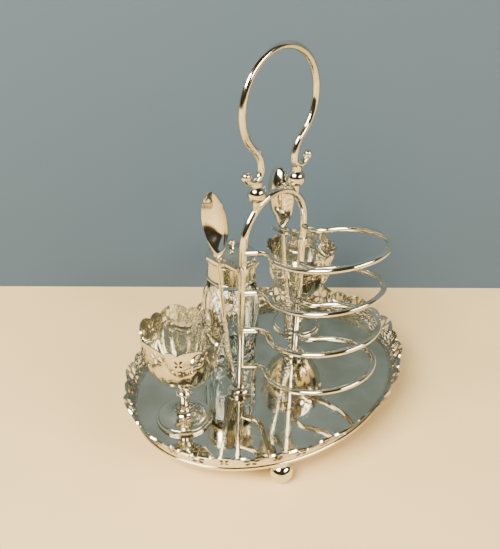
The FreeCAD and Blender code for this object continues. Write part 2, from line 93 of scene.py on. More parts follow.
# ---- settings a user would change ----------------------------------------------------------------
class FinishSettings(bpy.types.PropertyGroup):
    silver: bpy.props.FloatVectorProperty(
        name="Silver", description="Colour of the polished plate", subtype="COLOR",
        default=(0.80, 0.765, 0.63), min=0, max=1)
    worn: bpy.props.FloatVectorProperty(
        name="Worn silver", description="Warmer colour where the plate has dulled", subtype="COLOR",
        default=(0.47, 0.42, 0.26), min=0, max=1)
    tarnish: bpy.props.FloatVectorProperty(
        name="Tarnish", description="Colour of the dirt left in the low places", subtype="COLOR",
        default=(0.085, 0.055, 0.03), min=0, max=1)
    glass: bpy.props.FloatVectorProperty(
        name="Glass", description="Tint of the jar", subtype="COLOR",
        default=(0.965, 0.985, 0.975), min=0, max=1)
    brass: bpy.props.FloatVectorProperty(
        name="Brass", description="Colour of the nuts and washers", subtype="COLOR",
        default=(0.60, 0.47, 0.25), min=0, max=1)


class GallerySettings(bpy.types.PropertyGroup):
    flowers: bpy.props.IntProperty(
        name="Flowers", description="Pierced flowers round the tray", default=18, min=6, max=40)
    wall: bpy.props.FloatProperty(
        name="Sheet", description="Thickness of the sheet in millimetres", default=0.9,
        min=0.3, max=2)
    lobe: bpy.props.FloatProperty(
        name="Lobe", description="Height of the lobes of the edge in millimetres", default=3.2,
        min=0, max=6)
    relief: bpy.props.FloatProperty(
        name="Relief", description="Height of the chasing in millimetres", default=0.4,
        min=0, max=2)


class CupSettings(bpy.types.PropertyGroup):
    flowers: bpy.props.IntProperty(
        name="Flowers", description="Pierced flowers round each cup", default=6, min=3, max=12)
    wall: bpy.props.FloatProperty(
        name="Sheet", description="Thickness of the sheet in millimetres", default=0.8,
        min=0.3, max=2)
    lobe: bpy.props.FloatProperty(
        name="Lobe", description="Height of the lobes of the rim in millimetres", default=4.2,
        min=0, max=8)
    garland: bpy.props.FloatProperty(
        name="Garland", description="Height of the chased garland in millimetres", default=1.1,
        min=0, max=2)
    swag: bpy.props.FloatProperty(
        name="Swag", description="How far the garland hangs below the rim in millimetres",
        default=15.0, min=4, max=25)
    turn: bpy.props.FloatProperty(
        name="Turn", description="Heading of the first cross in degrees", default=-137.0,
        min=-180, max=180)


class SpoonSettings(bpy.types.PropertyGroup):
    bowl_length: bpy.props.FloatProperty(
        name="Bowl length", description="In millimetres", default=42.5, min=20, max=60)
    bowl_depth: bpy.props.FloatProperty(
        name="Bowl depth", description="In millimetres", default=6.6, min=1, max=12)
    blade_length: bpy.props.FloatProperty(
        name="Chased end", description="Length of the flat end in millimetres", default=46.0,
        min=10, max=60)


class JarSettings(bpy.types.PropertyGroup):
    flutes: bpy.props.IntProperty(
        name="Flutes", description="Upright cuts round the jar", default=14, min=6, max=40)
    cut: bpy.props.FloatProperty(
        name="Cut", description="Depth of the cuts in millimetres", default=0.55, min=0, max=2)


class StageSettings(bpy.types.PropertyGroup):
    yaw: bpy.props.FloatProperty(
        name="Yaw", description="Heading of the camera", subtype="ANGLE",
        default=math.radians(42.93))
    pitch: bpy.props.FloatProperty(
        name="Pitch", description="How far the camera looks down", subtype="ANGLE",
        default=math.radians(30.9))
    roll: bpy.props.FloatProperty(
        name="Roll", description="Tilt of the camera", subtype="ANGLE", default=math.radians(1.7))
    place: bpy.props.FloatVectorProperty(
        name="Camera", description="Where the camera stands", subtype="TRANSLATION", unit="LENGTH",
        default=(-0.291, -0.251, 0.3274))
    lens: bpy.props.FloatProperty(
        name="Lens", description="Focal length in millimetres", default=50.4, min=10, max=300)
    floor: bpy.props.FloatVectorProperty(
        name="Floor", description="Colour of the floor", subtype="COLOR",
        default=(0.98, 0.72, 0.33), min=0, max=1)
    wall: bpy.props.FloatVectorProperty(
        name="Wall", description="Colour of the wall behind", subtype="COLOR",
        default=(0.066, 0.106, 0.142), min=0, max=1)
    wall_yaw: bpy.props.FloatProperty(
        name="Wall heading", description="Direction in which the wall stands", subtype="ANGLE",
        default=math.radians(45.7))
    wall_distance: bpy.props.FloatProperty(
        name="Wall distance", description="From the middle of the tray", unit="LENGTH",
        default=0.1415)
    shade: bpy.props.FloatVectorProperty(
        name="Dark side", description="Colour of the room behind the viewer", subtype="COLOR",
        default=(0.050, 0.036, 0.022), min=0, max=1)


# ---- modelling helpers ---------------------------------------------------------------------------
def deselect():
    if bpy.context.object and bpy.context.object.mode != "OBJECT":
        bpy.ops.object.mode_set(mode="OBJECT")
    bpy.ops.object.select_all(action="DESELECT")


def only(obj):
    deselect()
    obj.select_set(True)
    bpy.context.view_layer.objects.active = obj


def named(name):
    """The primitive that was just added, under its piece's name."""
    obj = bpy.context.object
    obj.name = name
    obj.data.name = name
    return obj


def edit_all(obj):
    only(obj)
    bpy.ops.object.mode_set(mode="EDIT")
    bpy.ops.mesh.select_all(action="SELECT")


def place_in_mesh(obj):
    only(obj)
    bpy.ops.object.transform_apply(location=True, rotation=True, scale=True)


def modify(obj, kind, **settings):
    """Add one modifier, set it and apply it."""
    only(obj)
    modifier = obj.modifiers.new(kind.title(), kind)
    for key, value in settings.items():
        setattr(modifier, key, value)
    bpy.ops.object.modifier_apply(modifier=modifier.name)


def reshape(obj, where):
    """Move every vertex to where(place), both in millimetres."""
    for vertex in obj.data.vertices:
        vertex.co = where(vertex.co)
    obj.data.update()


def tidy(obj, distance=0.004):
    """Merge doubles and point all faces outwards."""
    edit_all(obj)
    bpy.ops.mesh.remove_doubles(threshold=distance)
    bpy.ops.mesh.dissolve_degenerate(threshold=distance / 4)
    bpy.ops.mesh.select_all(action="SELECT")
    bpy.ops.mesh.normals_make_consistent(inside=False)
    bpy.ops.object.mode_set(mode="OBJECT")


def to_metres(obj):
    obj.data.transform(Matrix.Scale(MM, 4))
    obj.data.update()


def smooth(obj, degrees):
    only(obj)
    bpy.ops.object.shade_smooth_by_angle(angle=math.radians(degrees))


def through(points, steps):
    """A smooth line through the points, with so many steps between one and the next."""
    line = []
    for i in range(len(points) - 1):
        before = Vector(points[max(i - 1, 0)])
        start = Vector(points[i])
        end = Vector(points[i + 1])
        after = Vector(points[min(i + 2, len(points) - 1)])
        for k in range(steps):
            t = k / steps
            line.append(0.5 * (2 * start + (end - before) * t
                               + (2 * before - 5 * start + 4 * end - after) * t ** 2
                               + (3 * start - before - 3 * end + after) * t ** 3))
    line.append(Vector(points[-1]))
    return line


class Walk:
    """A line of points that can be read by the distance along it."""

    def __init__(self, points):
        self.points = [Vector(p) for p in points]
        self.marks = [0.0]
        for a, b in zip(self.points, self.points[1:]):
            self.marks.append(self.marks[-1] + (b - a).length)
        self.length = self.marks[-1]

    def at(self, distance):
        """Place and direction; past the ends the line runs on straight."""
        low, high = 0, len(self.marks) - 2
        while low < high:
            half = (low + high + 1) // 2
            if self.marks[half] <= distance:
                low = half
            else:
                high = half - 1
        a, b = self.points[low], self.points[low + 1]
        run = (b - a).normalized()
        return a + run * (distance - self.marks[low]), run


def turned(name, outline, steps):
    """Spin a closed outline of (radius, height) round the upright axis."""
    deselect()
    bpy.ops.mesh.primitive_circle_add(vertices=len(outline), radius=1)
    obj = named(name)
    for vertex, point in zip(obj.data.vertices, outline):
        vertex.co = (point[0], 0, point[1])
    edit_all(obj)
    bpy.ops.mesh.spin(steps=steps, angle=TAU, center=(0, 0, 0), axis=(0, 0, 1))
    bpy.ops.object.mode_set(mode="OBJECT")
    tidy(obj)
    return obj


def bump(distance, width):
    """1 in the middle and 0 from width on, rounded."""
    t = max(0.0, 1.0 - (distance / width) ** 2)
    return t * t


def ease(t):
    t = min(1.0, max(0.0, t))
    return t * t * (3 - 2 * t)


def finish(obj, body, slot, material, *replaced, degrees=35):
    """Give a modelled piece its finish and its body, and hide the nodes that it stands for."""
    to_metres(obj)
    smooth(obj, degrees)
    obj.data.materials.clear()
    obj.data.materials.append(material)
    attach(obj, body)
    if replaced:
        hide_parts(*replaced)
    return obj


# ---- pierced sheet -------------------------------------------------------------------------------
def petal(x, z, length, width, angle):
    """A cutter for one petal-shaped hole, pointing along the angle in the sheet's plane."""
    swell = 0.22                # how much fuller the petal is at its outer end
    deselect()
    bpy.ops.mesh.primitive_cylinder_add(vertices=14, radius=1, depth=8,
                                        rotation=(math.pi / 2, 0, 0))
    cutter = bpy.context.object
    place_in_mesh(cutter)
    turn = Matrix.Rotation(-angle, 4, "Y")

    def shape(place):
        half = width * (1.0 + swell * place.x)
        return turn @ Vector((place.x * length, place.y, place.z * half)) + Vector((x, 0, z))

    reshape(cutter, shape)
    return cutter


def flower_cutters(x, z, count, ring, length, width, start=0.25):
    """Petals in a ring round one place; start is where the first one points, in turns."""
    cutters = []
    for k in range(count):
        angle = TAU * (start + k / count)
        place = (x + ring * math.cos(angle), z + ring * math.sin(angle))
        cutters.append(petal(*place, length, width, angle))
    return cutters


def pierced_sheet(name, pitch, height, wall, count, cutters):
    """A flat pierced strip: one repeat is cut and divided finely, then set in a row.

    The repeat starts a quarter of its length before zero, so its ends fall between the piercings.
    """
    deselect()
    bpy.ops.mesh.primitive_cube_add(size=1)
    sheet = named(name)
    quarter = pitch / 4

    def panel(place):
        return Vector(((place.x + 0.5) * pitch - quarter, place.y * wall, (place.z + 0.5) * height))

    reshape(sheet, panel)
    deselect()
    for cutter in cutters:
        cutter.select_set(True)
    bpy.context.view_layer.objects.active = cutters[0]
    bpy.ops.object.join()
    joined = bpy.context.object
    modify(sheet, "BOOLEAN", operation="DIFFERENCE", solver="EXACT", object=joined)
    bpy.data.objects.remove(joined)
    columns = round(pitch / SHEET_STEP)
    rows = round(height / SHEET_STEP)
    edit_all(sheet)
    for k in range(1, columns):
        bpy.ops.mesh.select_all(action="SELECT")
        bpy.ops.mesh.bisect(plane_co=(k * pitch / columns - quarter, 0, 0), plane_no=(1, 0, 0))
    for k in range(1, rows):
        bpy.ops.mesh.select_all(action="SELECT")
        bpy.ops.mesh.bisect(plane_co=(0, 0, k * height / rows), plane_no=(0, 0, 1))
    mesh = bmesh.from_edit_mesh(sheet.data)
    ends = []
    for face in mesh.faces:
        x = face.calc_center_median().x
        if abs(face.normal.x) > 0.99 and min(abs(x + quarter), abs(x - pitch + quarter)) < 1e-4:
            ends.append(face)
    bmesh.ops.delete(mesh, geom=ends, context="FACES_ONLY")
    bmesh.update_edit_mesh(sheet.data)
    bpy.ops.object.mode_set(mode="OBJECT")
    modify(sheet, "ARRAY", count=count, use_relative_offset=False, use_constant_offset=True,
           constant_offset_displace=(pitch, 0, 0), use_merge_vertices=True, merge_threshold=0.002)
    return sheet


def lobed(t, lobe, spans):
    """Height of the edge over one repeat: rounded lobes that meet in sharp notches."""
    for start, end, share in spans:
        across = ((t - start) % 1.0) / (end - start)
        if across < 1.0:
            return lobe * share * (4 * across * (1 - across)) ** 0.6
    return 0.0


# ---- gallery -------------------------------------------------------------------------------------
def oval_walk():
    """The tray's edge, read by distance."""
    steps = 1440
    points = []
    for k in range(steps + 1):
        angle = TAU * k / steps
        points.append((TRAY_HALF.x * math.cos(angle), TRAY_HALF.y * math.sin(angle), 0))
    return Walk(points)


def gallery_profile(height, rise, growth):
    """How far the flared sheet stands outside the tray's edge, and the slope of the flare."""
    inset, power = 0.5, 1.45
    t = max(0.0, height) / rise
    out = -inset + (growth + inset) * t ** power
    slope = (growth + inset) * power / rise * t ** (power - 1)
    return out, slope


def scrollwork(t, height):
    """Chased leaf scrolls between the flowers, from -1 to 1."""
    across = abs(((t + 0.5) % 1.0) - 0.5) * 2
    curl = math.sin(11 * across + 1.3 * math.sin(height * 1.1))
    vein = math.sin(height * 2.1 + 13 * across)
    return 0.7 * curl * math.sin(height * 0.8 + 4.0 * across) + 0.3 * vein


def make_gallery(settings, silver):
    """The flared, pierced and chased sheet round the tray, standing on the tray's edge."""
    count = settings.flowers
    walk = oval_walk()
    rise = GALLERY_TOP.z - FLOOR
    growth = GALLERY_TOP.x - TRAY_HALF.x - 0.6
    pitch = (walk.length + TAU * growth * 0.45) / count
    below = 1.5                 # the sheet reaches this far under the floor
    centre = 6.9                # height of the flowers over the floor
    tall = rise - settings.lobe + below
    cutters = flower_cutters(0, centre + below, **GALLERY_FLOWER)
    cutters += flower_cutters(pitch / 2, centre + below - 0.4, **GALLERY_CROSS)
    sheet = pierced_sheet("gallery_pierced", pitch, tall, settings.wall, count, cutters)

    def bend(place):
        t = place.x / pitch
        height = place.z - below
        share = ease((place.z - 0.6 * tall) / (0.4 * tall))
        height += share * lobed(t, settings.lobe, GALLERY_LOBES)
        out, slope = gallery_profile(height, rise, growth)
        point, run = walk.at((place.x / (pitch * count)) % 1.0 * walk.length)
        outward = Vector((run.y, -run.x, 0))
        lean = (outward - UP * slope).normalized()
        near = math.hypot(((t + 0.5) % 1.0 - 0.5) * pitch, height - centre)
        inside = ease(place.y / settings.wall + 0.5)
        plain = ease((near - 5.2) / 1.0) * ease((rise - 1.0 - height) / 1.5)
        chased = scrollwork(t, height) * plain
        lift = inside * (-0.9 * chased - 0.8 * bump(near - 5.0, 1.0) - 0.6 * bump(near, 1.6))
        wave = 0.45 * math.cos(TAU * t) * ease((height - 7) / 6)
        return (point + outward * (out + wave - settings.wall * 0.5) + UP * (FLOOR + height)
                + lean * (settings.relief * lift - place.y))

    reshape(sheet, bend)
    tidy(sheet)
    return finish(sheet, "stand", "gallery_silver", silver, "pierced_gallery",
                  degrees=SHEET_CREASE)


def oval_ring(name, inset, height, radius, silver):
    """A round bead that follows the tray's edge, bent from a ring."""
    straight = 10
    deselect()
    bpy.ops.mesh.primitive_torus_add(major_segments=240, minor_segments=12, major_radius=straight,
                                     minor_radius=1)
    ring = named(name)

    def bend(place):
        angle = math.atan2(place.y, place.x)
        out = (math.hypot(place.x, place.y) - straight) * radius - inset
        across, along = math.cos(angle), math.sin(angle)
        point = Vector((TRAY_HALF.x * across, TRAY_HALF.y * along, 0))
        outward = Vector((across / TRAY_HALF.x, along / TRAY_HALF.y, 0)).normalized()
        return point + outward * out + UP * (FLOOR + height + place.z * radius)

    reshape(ring, bend)
    return finish(ring, "stand", "gallery_silver", silver)


# ---- egg cups ------------------------------------------------------------------------------------
def make_cup_bowl(side, settings, silver):
    """One egg cup's bowl: a pierced sheet rolled round the cup's outline, with a garland."""
    low, high = corner(side + "_cup_bowl", 0), corner(side + "_cup_bowl", 1)
    axis = (low + high) / 2
    rim = (high.x - low.x) / 2
    base = low.z
    tall = high.z - low.z
    points = [(0.0, base), (4.6, base + 0.2), (0.39 * rim, base + 0.055 * tall),
              (0.64 * rim, base + 0.21 * tall), (0.79 * rim, base + 0.37 * tall),
              (0.865 * rim, base + 0.53 * tall), (0.90 * rim, base + 0.70 * tall),
              (0.945 * rim, base + 0.84 * tall), (0.96 * rim, high.z - settings.lobe)]
    profile = Walk([(r, 0, z) for r, z in through(points, 8)])
    count = settings.flowers
    pitch = TAU * (rim - 2) / count
    length = profile.length
    band = length - 5.6         # distance of the piercings along the outline
    flower = 0.45 * pitch
    notch = 0.65                # the garland is tied up here and at 0, as shares of a repeat
    cutters = flower_cutters(flower, band, **CUP_FLOWER)
    cutters += flower_cutters(0, band - 0.2, **CUP_CROSS)
    sheet = pierced_sheet(side + "_egg_cup_bowl", pitch, length, settings.wall, count, cutters)
    turn = math.radians(settings.turn)

    def bend(place):
        t = (place.x / pitch) % 1.0
        share = ease((place.z - (length - 8)) / 8)
        along = place.z + share * lobed(t, settings.lobe, CUP_LOBES)
        point, run = profile.at(along)
        out = Vector((run.z, 0, -run.x))
        swing = t / notch if t < notch else (1 - t) / (1 - notch)
        off = along - (length + 1.5 - settings.swag + (settings.swag - 2.5) * swing ** 2.2)
        rope = bump(off, 2.2)
        leaf = math.sin(along * 2.7 + t * 44) * math.sin(along * 1.9 - t * 57)
        near = math.hypot(place.x - flower, place.z - band)
        clear = ease((near - 4.2) / 1.2)
        outside = ease(0.5 - place.y / settings.wall)
        lift = rope * (0.35 + 0.9 * leaf * outside) * settings.garland * clear
        lift += 0.35 * math.cos(TAU * t * 3) * bump(along - (length - 20), 18)
        lift -= 0.35 * settings.garland * bump(abs(off) - 2.4, 0.8) * clear
        lift += 0.3 * bump(near - 4.6, 0.9) + 0.3 * bump(near, 1.3)
        angle = turn + TAU * place.x / (pitch * count)
        local = point + out * (lift - settings.wall * 0.5 - place.y)
        radius = max(0.0, local.x + 0.35 * share * math.cos(TAU * (t - 0.3)))
        if place.z < 1e-6:
            radius = 0.0        # the sheet's lower edge closes on the cup's axis
        x, y = radius * math.cos(angle), radius * math.sin(angle)
        return Vector((axis.x + x, axis.y + y, local.z))

    reshape(sheet, bend)
    tidy(sheet)
    return finish(sheet, side + "_egg_cup", "cup_silver", silver, side + "_cup_bowl",
                  degrees=SHEET_CREASE)


# ---- spoons --------------------------------------------------------------------------------------
def spoon_section(along, total, settings):
    """Half width, thickness and depth of the spoon at a distance from its lower end."""
    bowl_start = total - settings.bowl_length
    blade = settings.blade_length
    if along <= blade:
        t = along / blade
        shoulder = math.sin(math.pi * min(1.0, t * 2.2)) * (t < 0.455)
        half = 1.5 + 3.0 * (1 - t) ** 1.1 + 0.75 * shoulder
        half *= min(1.0, math.sqrt(max(0.0, along / 2.6)) + 0.02)
        return half, 1.9 + 0.5 * t, 0.0
    if along <= bowl_start:
        t = (along - blade) / (bowl_start - blade)
        return 1.5 - 0.25 * t, 2.4 - 0.2 * t, 0.0
    t = (along - bowl_start) / settings.bowl_length
    swell = math.sin(math.pi * t ** 1.12) ** 0.58 if 0 < t < 1 else 0.0
    half = max(11.5 * swell, 1.25 * max(0.0, 1 - t * 6), 0.05)
    return half, 2.2 - 1.3 * ease(t * 5), settings.bowl_depth * swell * ease(t * 3.0)


def spoon_foot_y(node):
    """Y of the spoon's axis at its lower end: the middle of the lowest part of its mesh."""
    points = [vertex.co / MM for vertex in frame["nodes"][node].data.vertices]
    lowest = min(point.z for point in points)
    ends = [point.y for point in points if point.z < lowest + 2.0]
    return (min(ends) + max(ends)) / 2


def make_spoon(side, settings, silver):
    """A spoon hanging bowl upwards, rolled from a sheet: round the stem and along it."""
    node = side + "_egg_spoon"
    low, high = corner(node, 0), corner(node, 1)
    hand = -1 if side == "left" else 1
    cos_lean, sin_lean = math.cos(SPOON_LEAN), math.sin(SPOON_LEAN)
    margin = 0.3                # kept clear of the node's box at each end
    total = (high.z - low.z - 2 * margin) / cos_lean
    rings, around = 190, 28
    deselect()
    bpy.ops.mesh.primitive_grid_add(x_subdivisions=around, y_subdivisions=rings, size=2)
    spoon = named(side + "_spoon")
    stem_x = (low.x if side == "left" else high.x) - hand * 1.5
    centre_y = spoon_foot_y(node)

    def roll(place):
        along = (place.y + 1) / 2 * total
        turn = math.pi * (place.x + 1)
        half, thick, depth = spoon_section(along, total, settings)
        across = math.cos(turn)
        hollow = depth * (1 - across * across)
        chase = 0.0
        if along < settings.blade_length + 4:
            fade = ease((settings.blade_length + 4 - along) / 6)
            chase = 0.5 * fade * math.sin(along * 1.7 + 2.4 * abs(across)) * math.cos(across * 5.4)
        face = (thick / 2 + chase) * math.sin(turn)
        local = Vector((hand * (face - hollow), half * across, along))
        y = centre_y + local.y * cos_lean + local.z * sin_lean
        z = low.z + margin + local.z * cos_lean - local.y * sin_lean
        return Vector((stem_x + local.x, y, z))

    reshape(spoon, roll)
    tidy(spoon, 0.01)
    edit_all(spoon)
    bpy.ops.mesh.select_all(action="DESELECT")
    bpy.ops.mesh.select_non_manifold()
    bpy.ops.mesh.edge_face_add()
    bpy.ops.mesh.select_all(action="SELECT")
    bpy.ops.mesh.normals_make_consistent(inside=False)
    bpy.ops.object.mode_set(mode="OBJECT")
    return finish(spoon, side + "_spoon", "spoon_silver", silver, node, degrees=60)


# ---- jar -----------------------------------------------------------------------------------------
def make_jar(settings, glass):
    """The jar's glass: flutes above a waist line, crossed cuts below it."""
    low, high = corner("jar_glass", 0), corner("jar_glass", 1)
    axis = (low + high) / 2
    radius = (high.x - low.x) / 2
    neck = corner("jar_collar", 1).x - 2.1
    top = high.z - low.z
    outer = [(0.0, 0.9), (8.0, 0.7), (11.5, 0.0), (radius - 3.4, 0.0), (radius - 2.3, 1.0),
             (radius - 1.2, 8.0), (radius - 0.3, 20.0), (radius, 32.0), (radius, 44.0),
             (radius - 0.7, 53.0), (neck + 0.6, 59.5), (neck - 0.3, 61.5), (neck - 0.3, top)]
    inner = [(12.2, top), (12.2, 61.5), (13.4, 59.0), (radius - 3.2, 51.0), (radius - 2.6, 40.0),
             (radius - 2.8, 24.0), (radius - 4.4, 9.0), (radius - 7.0, 4.8), (6.0, 4.0), (0.0, 3.8)]
    jar = turned("jar_body", through(outer, 7) + through(inner, 5), 216)
    flutes = settings.flutes

    def cut(place):
        r = math.hypot(place.x, place.y)
        angle = math.atan2(place.y, place.x)
        z = place.z
        outside = ease((r - (radius - 3.6) * (0.93 if z < 12 else 1.0)) / 1.2) if z < 60 else 0
        wave = abs(math.sin(angle * flutes / 2))
        upper = ease((z - 27) / 3) * ease((59 - z) / 4)
        lower = ease((z - 2) / 3) * ease((25 - z) / 3)
        spot = abs(math.sin(angle * flutes / 2 + math.pi / 4 * math.sin(z * 0.55)))
        groove = 0.7 * bump(z - 26.5, 1.3)
        depth = settings.cut * outside * (upper * (1 - wave) + lower * (1 - spot) + groove)
        r -= depth
        return Vector((axis.x + r * math.cos(angle), axis.y + r * math.sin(angle), low.z + z))

    reshape(jar, cut)
    return finish(jar, "jar", "jar_glass", glass, "jar_glass", degrees=30)


# ---- shaders -------------------------------------------------------------------------------------
class Value:
    """A number in a node tree, on which sums can be written."""

    def __init__(self, paint, socket):
        self.paint = paint
        self.socket = socket

    def _sum(self, operation, first, second):
        node = self.paint.node("ShaderNodeMath", {"operation": operation}, {0: first, 1: second})
        return Value(self.paint, node.outputs[0])

    def __add__(self, other):
        return self._sum("ADD", self, other)

    __radd__ = __add__

    def __sub__(self, other):
        return self._sum("SUBTRACT", self, other)

    def __rsub__(self, other):
        return self._sum("SUBTRACT", other, self)

    def __mul__(self, other):
        return self._sum("MULTIPLY", self, other)

    __rmul__ = __mul__

    def range(self, low, high, to_low=0.0, to_high=1.0):
        """The value, clamped and mapped from one range to another."""
        node = self.paint.node("ShaderNodeMapRange",
                               {"clamp": True, "interpolation_type": "SMOOTHSTEP"},
                               {"Value": self, "From Min": low, "From Max": high,
                                "To Min": to_low, "To Max": to_high})
        return Value(self.paint, node.outputs[0])


class Paint:
    """A material or world that is painted with nodes."""

    def __init__(self, owner):
        owner.use_nodes = True
        self.tree = owner.node_tree
        self.tree.nodes.clear()

    def node(self, kind, settings=None, inputs=None):
        node = self.tree.nodes.new(kind)
        for key, value in (settings or {}).items():
            setattr(node, key, value)
        for key, value in (inputs or {}).items():
            if isinstance(value, Value):
                self.tree.links.new(value.socket, node.inputs[key])
            elif isinstance(value, bpy.types.NodeSocket):
                self.tree.links.new(value, node.inputs[key])
            else:
                node.inputs[key].default_value = value
        return node

    def place(self):
        return self.node("ShaderNodeTexCoord").outputs["Object"]

    def noise(self, scale, detail=3.0, stretch=None, roughness=0.5, distortion=0.0):
        vector = self.place()
        if stretch:
            vector = self.node("ShaderNodeMapping", {"vector_type": "POINT"},
                               {"Vector": vector, "Scale": stretch}).outputs[0]
        node = self.node("ShaderNodeTexNoise", {"noise_dimensions": "3D"},
                         {"Vector": vector, "Scale": scale, "Detail": detail,
                          "Roughness": roughness, "Distortion": distortion})
        return Value(self, node.outputs["Fac"])

    def crevice(self, reach):
        """1 in the open and towards 0 in a corner or a cut of this piece."""
        node = self.node("ShaderNodeAmbientOcclusion", {"samples": 8, "only_local": True},
                         {"Distance": reach})
        return Value(self, node.outputs["AO"])

    def mix(self, share, first, second):
        node = self.node("ShaderNodeMix", {"data_type": "RGBA"}, {0: share, 6: first, 7: second})
        return node.outputs[2]

    def bump(self, height, distance, strength=1.0, normal=None):
        inputs = {"Height": height, "Distance": distance, "Strength": strength}
        if normal:
            inputs["Normal"] = normal
        return self.node("ShaderNodeBump", {}, inputs).outputs[0]

    def principled(self, **inputs):
        words = {key.replace("_", " "): value for key, value in inputs.items()}
        shader = self.node("ShaderNodeBsdfPrincipled", {}, words)
        out = self.node("ShaderNodeOutputMaterial")
        self.tree.links.new(shader.outputs[0], out.inputs["Surface"])
        return shader


def rgba(colour):
    return (*colour, 1.0)


def silver_finish(material, tarnish, reach, gloss, ripple):
    """Polished plate: mirror-bright, gently uneven, rubbed in fine lines, dark in its low places.

    Tarnish is the most dirt there is and reach how wide a corner collects it; gloss is the
    roughness where it is clean and ripple how uneven it is. Reach and ripple are in metres.
    """
    looks = bpy.context.scene.cruet_finish
    paint = Paint(material)
    cloud = paint.noise(38, 3)
    speck = paint.noise(900, 4, roughness=0.7)
    rub = paint.noise(260, 5, stretch=(1.0, 1.0, 7.0), roughness=0.65)
    hollow = (1 - paint.crevice(reach)).range(0.07, 0.42)
    dirt = (hollow * (0.55 + 0.9 * speck)).range(0.08, 0.55, 0.0, tarnish)
    streak = paint.noise(75, 4, distortion=1.8).range(0.56, 0.74)
    dirt = (dirt + streak * (0.45 * tarnish)).range(0.0, 1.0)
    warm = paint.mix(cloud.range(0.35, 0.7), rgba(looks.silver), rgba(looks.worn))
    clean = paint.mix(0.55, rgba(looks.silver), warm)
    colour = paint.mix(dirt, clean, rgba(looks.tarnish))
    roughness = gloss + 0.05 * cloud + 0.07 * rub.range(0.45, 0.8) + 0.3 * dirt
    soft = paint.bump(paint.noise(95, 2), ripple, 1.0)
    fine = paint.bump(rub, 0.000012, 0.6, soft)
    paint.principled(Base_Color=colour, Metallic=1.0, Roughness=roughness, Normal=fine)


def brass_finish(material):
    """Dull yellow metal, darker in its corners."""
    looks = bpy.context.scene.cruet_finish
    paint = Paint(material)
    cloud = paint.noise(300, 4)
    dirt = (1 - paint.crevice(0.003)).range(0.2, 0.8, 0.0, 0.7)
    colour = paint.mix(cloud.range(0.3, 0.7), rgba(looks.brass), rgba(looks.worn))
    colour = paint.mix(dirt, colour, rgba(looks.tarnish))
    paint.principled(Base_Color=colour, Metallic=1.0, Roughness=0.22 + 0.25 * cloud,
                     Normal=paint.bump(cloud, 0.0001, 0.5))


def glass_finish(material):
    """Clear glass with a faint unevenness."""
    paint = Paint(material)
    wave = paint.noise(120, 2)
    tint = rgba(bpy.context.scene.cruet_finish.glass)
    colour = paint.mix(wave.range(0.3, 0.7), tint, (0.93, 0.96, 0.945, 1.0))
    paint.principled(Base_Color=colour, Roughness=0.01 + 0.03 * wave, IOR=1.5,
                     Transmission_Weight=1.0, Normal=paint.bump(wave, 0.0002, 0.5))


# Tarnish, reach, gloss and ripple of each slot that is silver plate.
SILVERS = {
    "tray_mirror": (0.25, 0.003, 0.025, 0.000015),
    "gallery_silver": (0.8, 0.0035, 0.11, 0.00008),
    "wire_silver": (0.8, 0.004, 0.07, 0.00018),
    "turned_silver": (0.85, 0.004, 0.07, 0.00012),
    "foot_silver": (0.8, 0.004, 0.06, 0.00015),
    "cup_silver": (0.8, 0.003, 0.10, 0.00010),
    "spoon_silver": (0.8, 0.002, 0.06, 0.00010),
    "jar_silver": (0.85, 0.003, 0.06, 0.00008),
}
OTHER_FINISHES = {"jar_glass": glass_finish, "fastener_brass": brass_finish}


def finish_for(slot):
    """The one material of a record slot, made when it is first asked for."""
    name = "cruet " + slot
    if name not in bpy.data.materials:
        material = bpy.data.materials.new(name)
        if slot in SILVERS:
            silver_finish(material, *SILVERS[slot])
        else:
            OTHER_FINISHES[slot](material)
    return bpy.data.materials[name]


# ---- stage ---------------------------------------------------------------------------------------
LIGHT_TARGET = (0, 0, 0.08)
# Name, place, size, power and colour of each light, in metres and watts.
LIGHTS = (
    ("window", (-1.1, -0.1, 1.15), (0.8, 0.6), 68, (1.0, 0.92, 0.80)),
    ("front fill", (0.25, -1.5, 0.9), (1.0, 0.4), 34, (1.0, 0.90, 0.77)),
)


def area_light(name, place, size, power, colour):
    """A rectangular lamp that is pointed at the object."""
    deselect()
    bpy.ops.object.light_add(type="AREA", location=place)
    light = bpy.context.object
    light.name = name
    light.data.shape = "RECTANGLE"
    light.data.size, light.data.size_y = size
    light.data.energy = power
    light.data.color = colour
    towards = Vector(LIGHT_TARGET) - Vector(place)
    light.rotation_euler = towards.to_track_quat("-Z", "Y").to_euler()


def grained(paint, grain, colour, dimmer):
    """A colour that goes over into a slightly darker one with the grain."""
    dim = tuple(dimmer * value for value in colour)
    return paint.mix(grain.range(0.3, 0.7), rgba(colour), rgba(dim))


def lay_floor(stage):
    deselect()
    bpy.ops.mesh.primitive_plane_add(size=8)
    floor = named("floor")
    material = bpy.data.materials.new("pale floor")
    paint = Paint(material)
    grain = paint.noise(9, 3)
    paint.principled(Base_Color=grained(paint, grain, stage.floor, 0.94),
                     Roughness=0.55 + 0.1 * grain,
                     Normal=paint.bump(paint.noise(700, 2), 0.0001, 0.15))
    floor.data.materials.append(material)
    return floor


